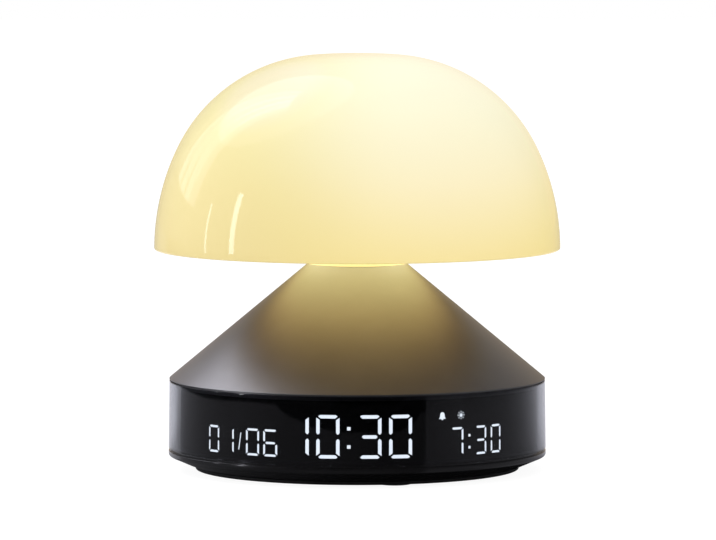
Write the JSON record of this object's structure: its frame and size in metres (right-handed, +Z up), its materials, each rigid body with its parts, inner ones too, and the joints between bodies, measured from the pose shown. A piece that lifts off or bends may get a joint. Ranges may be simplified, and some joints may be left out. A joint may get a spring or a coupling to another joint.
{
  "type": "sunrise alarm clock",
  "caption": "Round bedside alarm clock with a glowing opal dome that is pressed as a switch, a dark metallic cone and a wrap-round LED display in the base.",
  "frame": {"origin": "centre of the plane that the foot pads stand on", "axes": "+Z up along the axis of the dome, -Y to the front with the time display, +X to the right seen from the front"},
  "size_m": [0.138, 0.138, 0.1416],
  "materials": {
    "opal_dome": "glossy opal, lit warm from inside",
    "opal_disc": "satin opal, lit from inside",
    "white_plastic": "moulded, satin",
    "spring_steel": "plain",
    "plate_aluminium": "mill finish",
    "white_board": "white solder mask",
    "warm_led": "clear resin over phosphor",
    "screw_steel": "zinc plated",
    "black_plastic": "moulded, fine grain",
    "white_cable": "soft sheath",
    "opal_bush": "glossy opal, catches the lamp's light",
    "gunmetal": "dark anodised, satin with a fine grain",
    "bridge_steel": "plain sheet",
    "green_board": "green solder mask",
    "smoked_window": "polished smoked acrylic",
    "gloss_black": "polished, black",
    "lit_white": "diffusing resin, lit cool white",
    "cool_led": "clear resin over phosphor",
    "ribbon_amber": "polyimide film",
    "tray_black": "moulded, semi-gloss black",
    "cover_black": "moulded, fine grain",
    "pad_rubber": "soft, matt",
    "black_steel": "black oxide",
    "socket_steel": "tin plated",
    "cell_sleeve": "shrink sleeve over a steel can",
    "contact_nickel": "nickel plated",
    "red_cable": "soft sheath",
    "cone_paper": "coated paper",
    "gasket_foam": "closed-cell foam",
    "button_black": "moulded, satin"
  },
  "bodies": {
    "base": {"head_lead": "white_cable", "neck_bush": "opal_bush", "neck_spring": "spring_steel", "cone_shell": "gunmetal", "switch_bridge": "bridge_steel", "head_switch_board": "green_board", "switch_housing": "black_plastic", "switch_lead": "white_cable", "display_window": "smoked_window", "rear_panel": "gloss_black", "display_frame": "black_plastic", "display_segments": "lit_white", "display_board": "green_board", "display_leds": "cool_led", "display_ribbon": "ribbon_amber", "base_tray": "tray_black", "bottom_cover": "cover_black", "foot_pads": "pad_rubber", "cover_screws": "black_steel", "case_screws": "screw_steel", "small_screws": "screw_steel", "main_board": "green_board", "board_parts": "black_plastic", "usb_socket": "socket_steel", "battery_holder": "black_plastic", "battery_cell": "cell_sleeve", "battery_contacts": "contact_nickel", "battery_lead": "red_cable", "speaker_frame": "black_plastic", "speaker_diaphragm": "cone_paper", "speaker_gasket": "gasket_foam", "speaker_lead": "red_cable", "button_board": "green_board", "button_ribbon": "ribbon_amber", "button_switches": "black_plastic", "alarm_switch": "socket_steel"},
    "head": {"dome_shade": "opal_dome", "shade_disc": "opal_disc", "head_stem": "white_plastic", "stem_clip": "spring_steel", "heat_plate": "plate_aluminium", "lamp_led_board": "white_board", "lamp_leds": "warm_led", "head_screws": "screw_steel", "switch_plunger": "black_plastic"},
    "push_button_1": {"button_1": "button_black", "button_stem_1": "white_plastic"},
    "push_button_2": {"button_2": "button_black", "button_stem_2": "white_plastic"},
    "push_button_3": {"button_3": "button_black", "button_stem_3": "white_plastic"},
    "push_button_4": {"button_4": "button_black", "button_stem_4": "white_plastic"},
    "push_button_5": {"button_5": "button_black", "button_stem_5": "white_plastic"},
    "alarm_slider": {"alarm_knob": "white_plastic"}
  },
  "joints": [
    {"name": "head_press", "type": "slide", "parent": "base", "child": "head", "axis": [0, 0, -1], "range_m": [0, 0.0012], "stiffness_N_per_m": 1500, "springref_m": -0.002, "deforming": ["neck_spring", "head_lead"]},
    {"name": "push_1", "type": "slide", "parent": "base", "child": "push_button_1", "axis": [0, -1, 0], "range_m": [0, 0.0006], "stiffness_N_per_m": 800, "springref_m": -0.001},
    {"name": "push_2", "type": "slide", "parent": "base", "child": "push_button_2", "axis": [0, -1, 0], "range_m": [0, 0.0006], "stiffness_N_per_m": 800, "springref_m": -0.001},
    {"name": "push_3", "type": "slide", "parent": "base", "child": "push_button_3", "axis": [0, -1, 0], "range_m": [0, 0.0006], "stiffness_N_per_m": 800, "springref_m": -0.001},
    {"name": "push_4", "type": "slide", "parent": "base", "child": "push_button_4", "axis": [0, -1, 0], "range_m": [0, 0.0006], "stiffness_N_per_m": 800, "springref_m": -0.001},
    {"name": "push_5", "type": "slide", "parent": "base", "child": "push_button_5", "axis": [0, -1, 0], "range_m": [0, 0.0006], "stiffness_N_per_m": 800, "springref_m": -0.001},
    {"name": "alarm_slide", "type": "slide", "parent": "base", "child": "alarm_slider", "axis": [1, 0, 0], "range_m": [0, 0.003]}
  ]
}
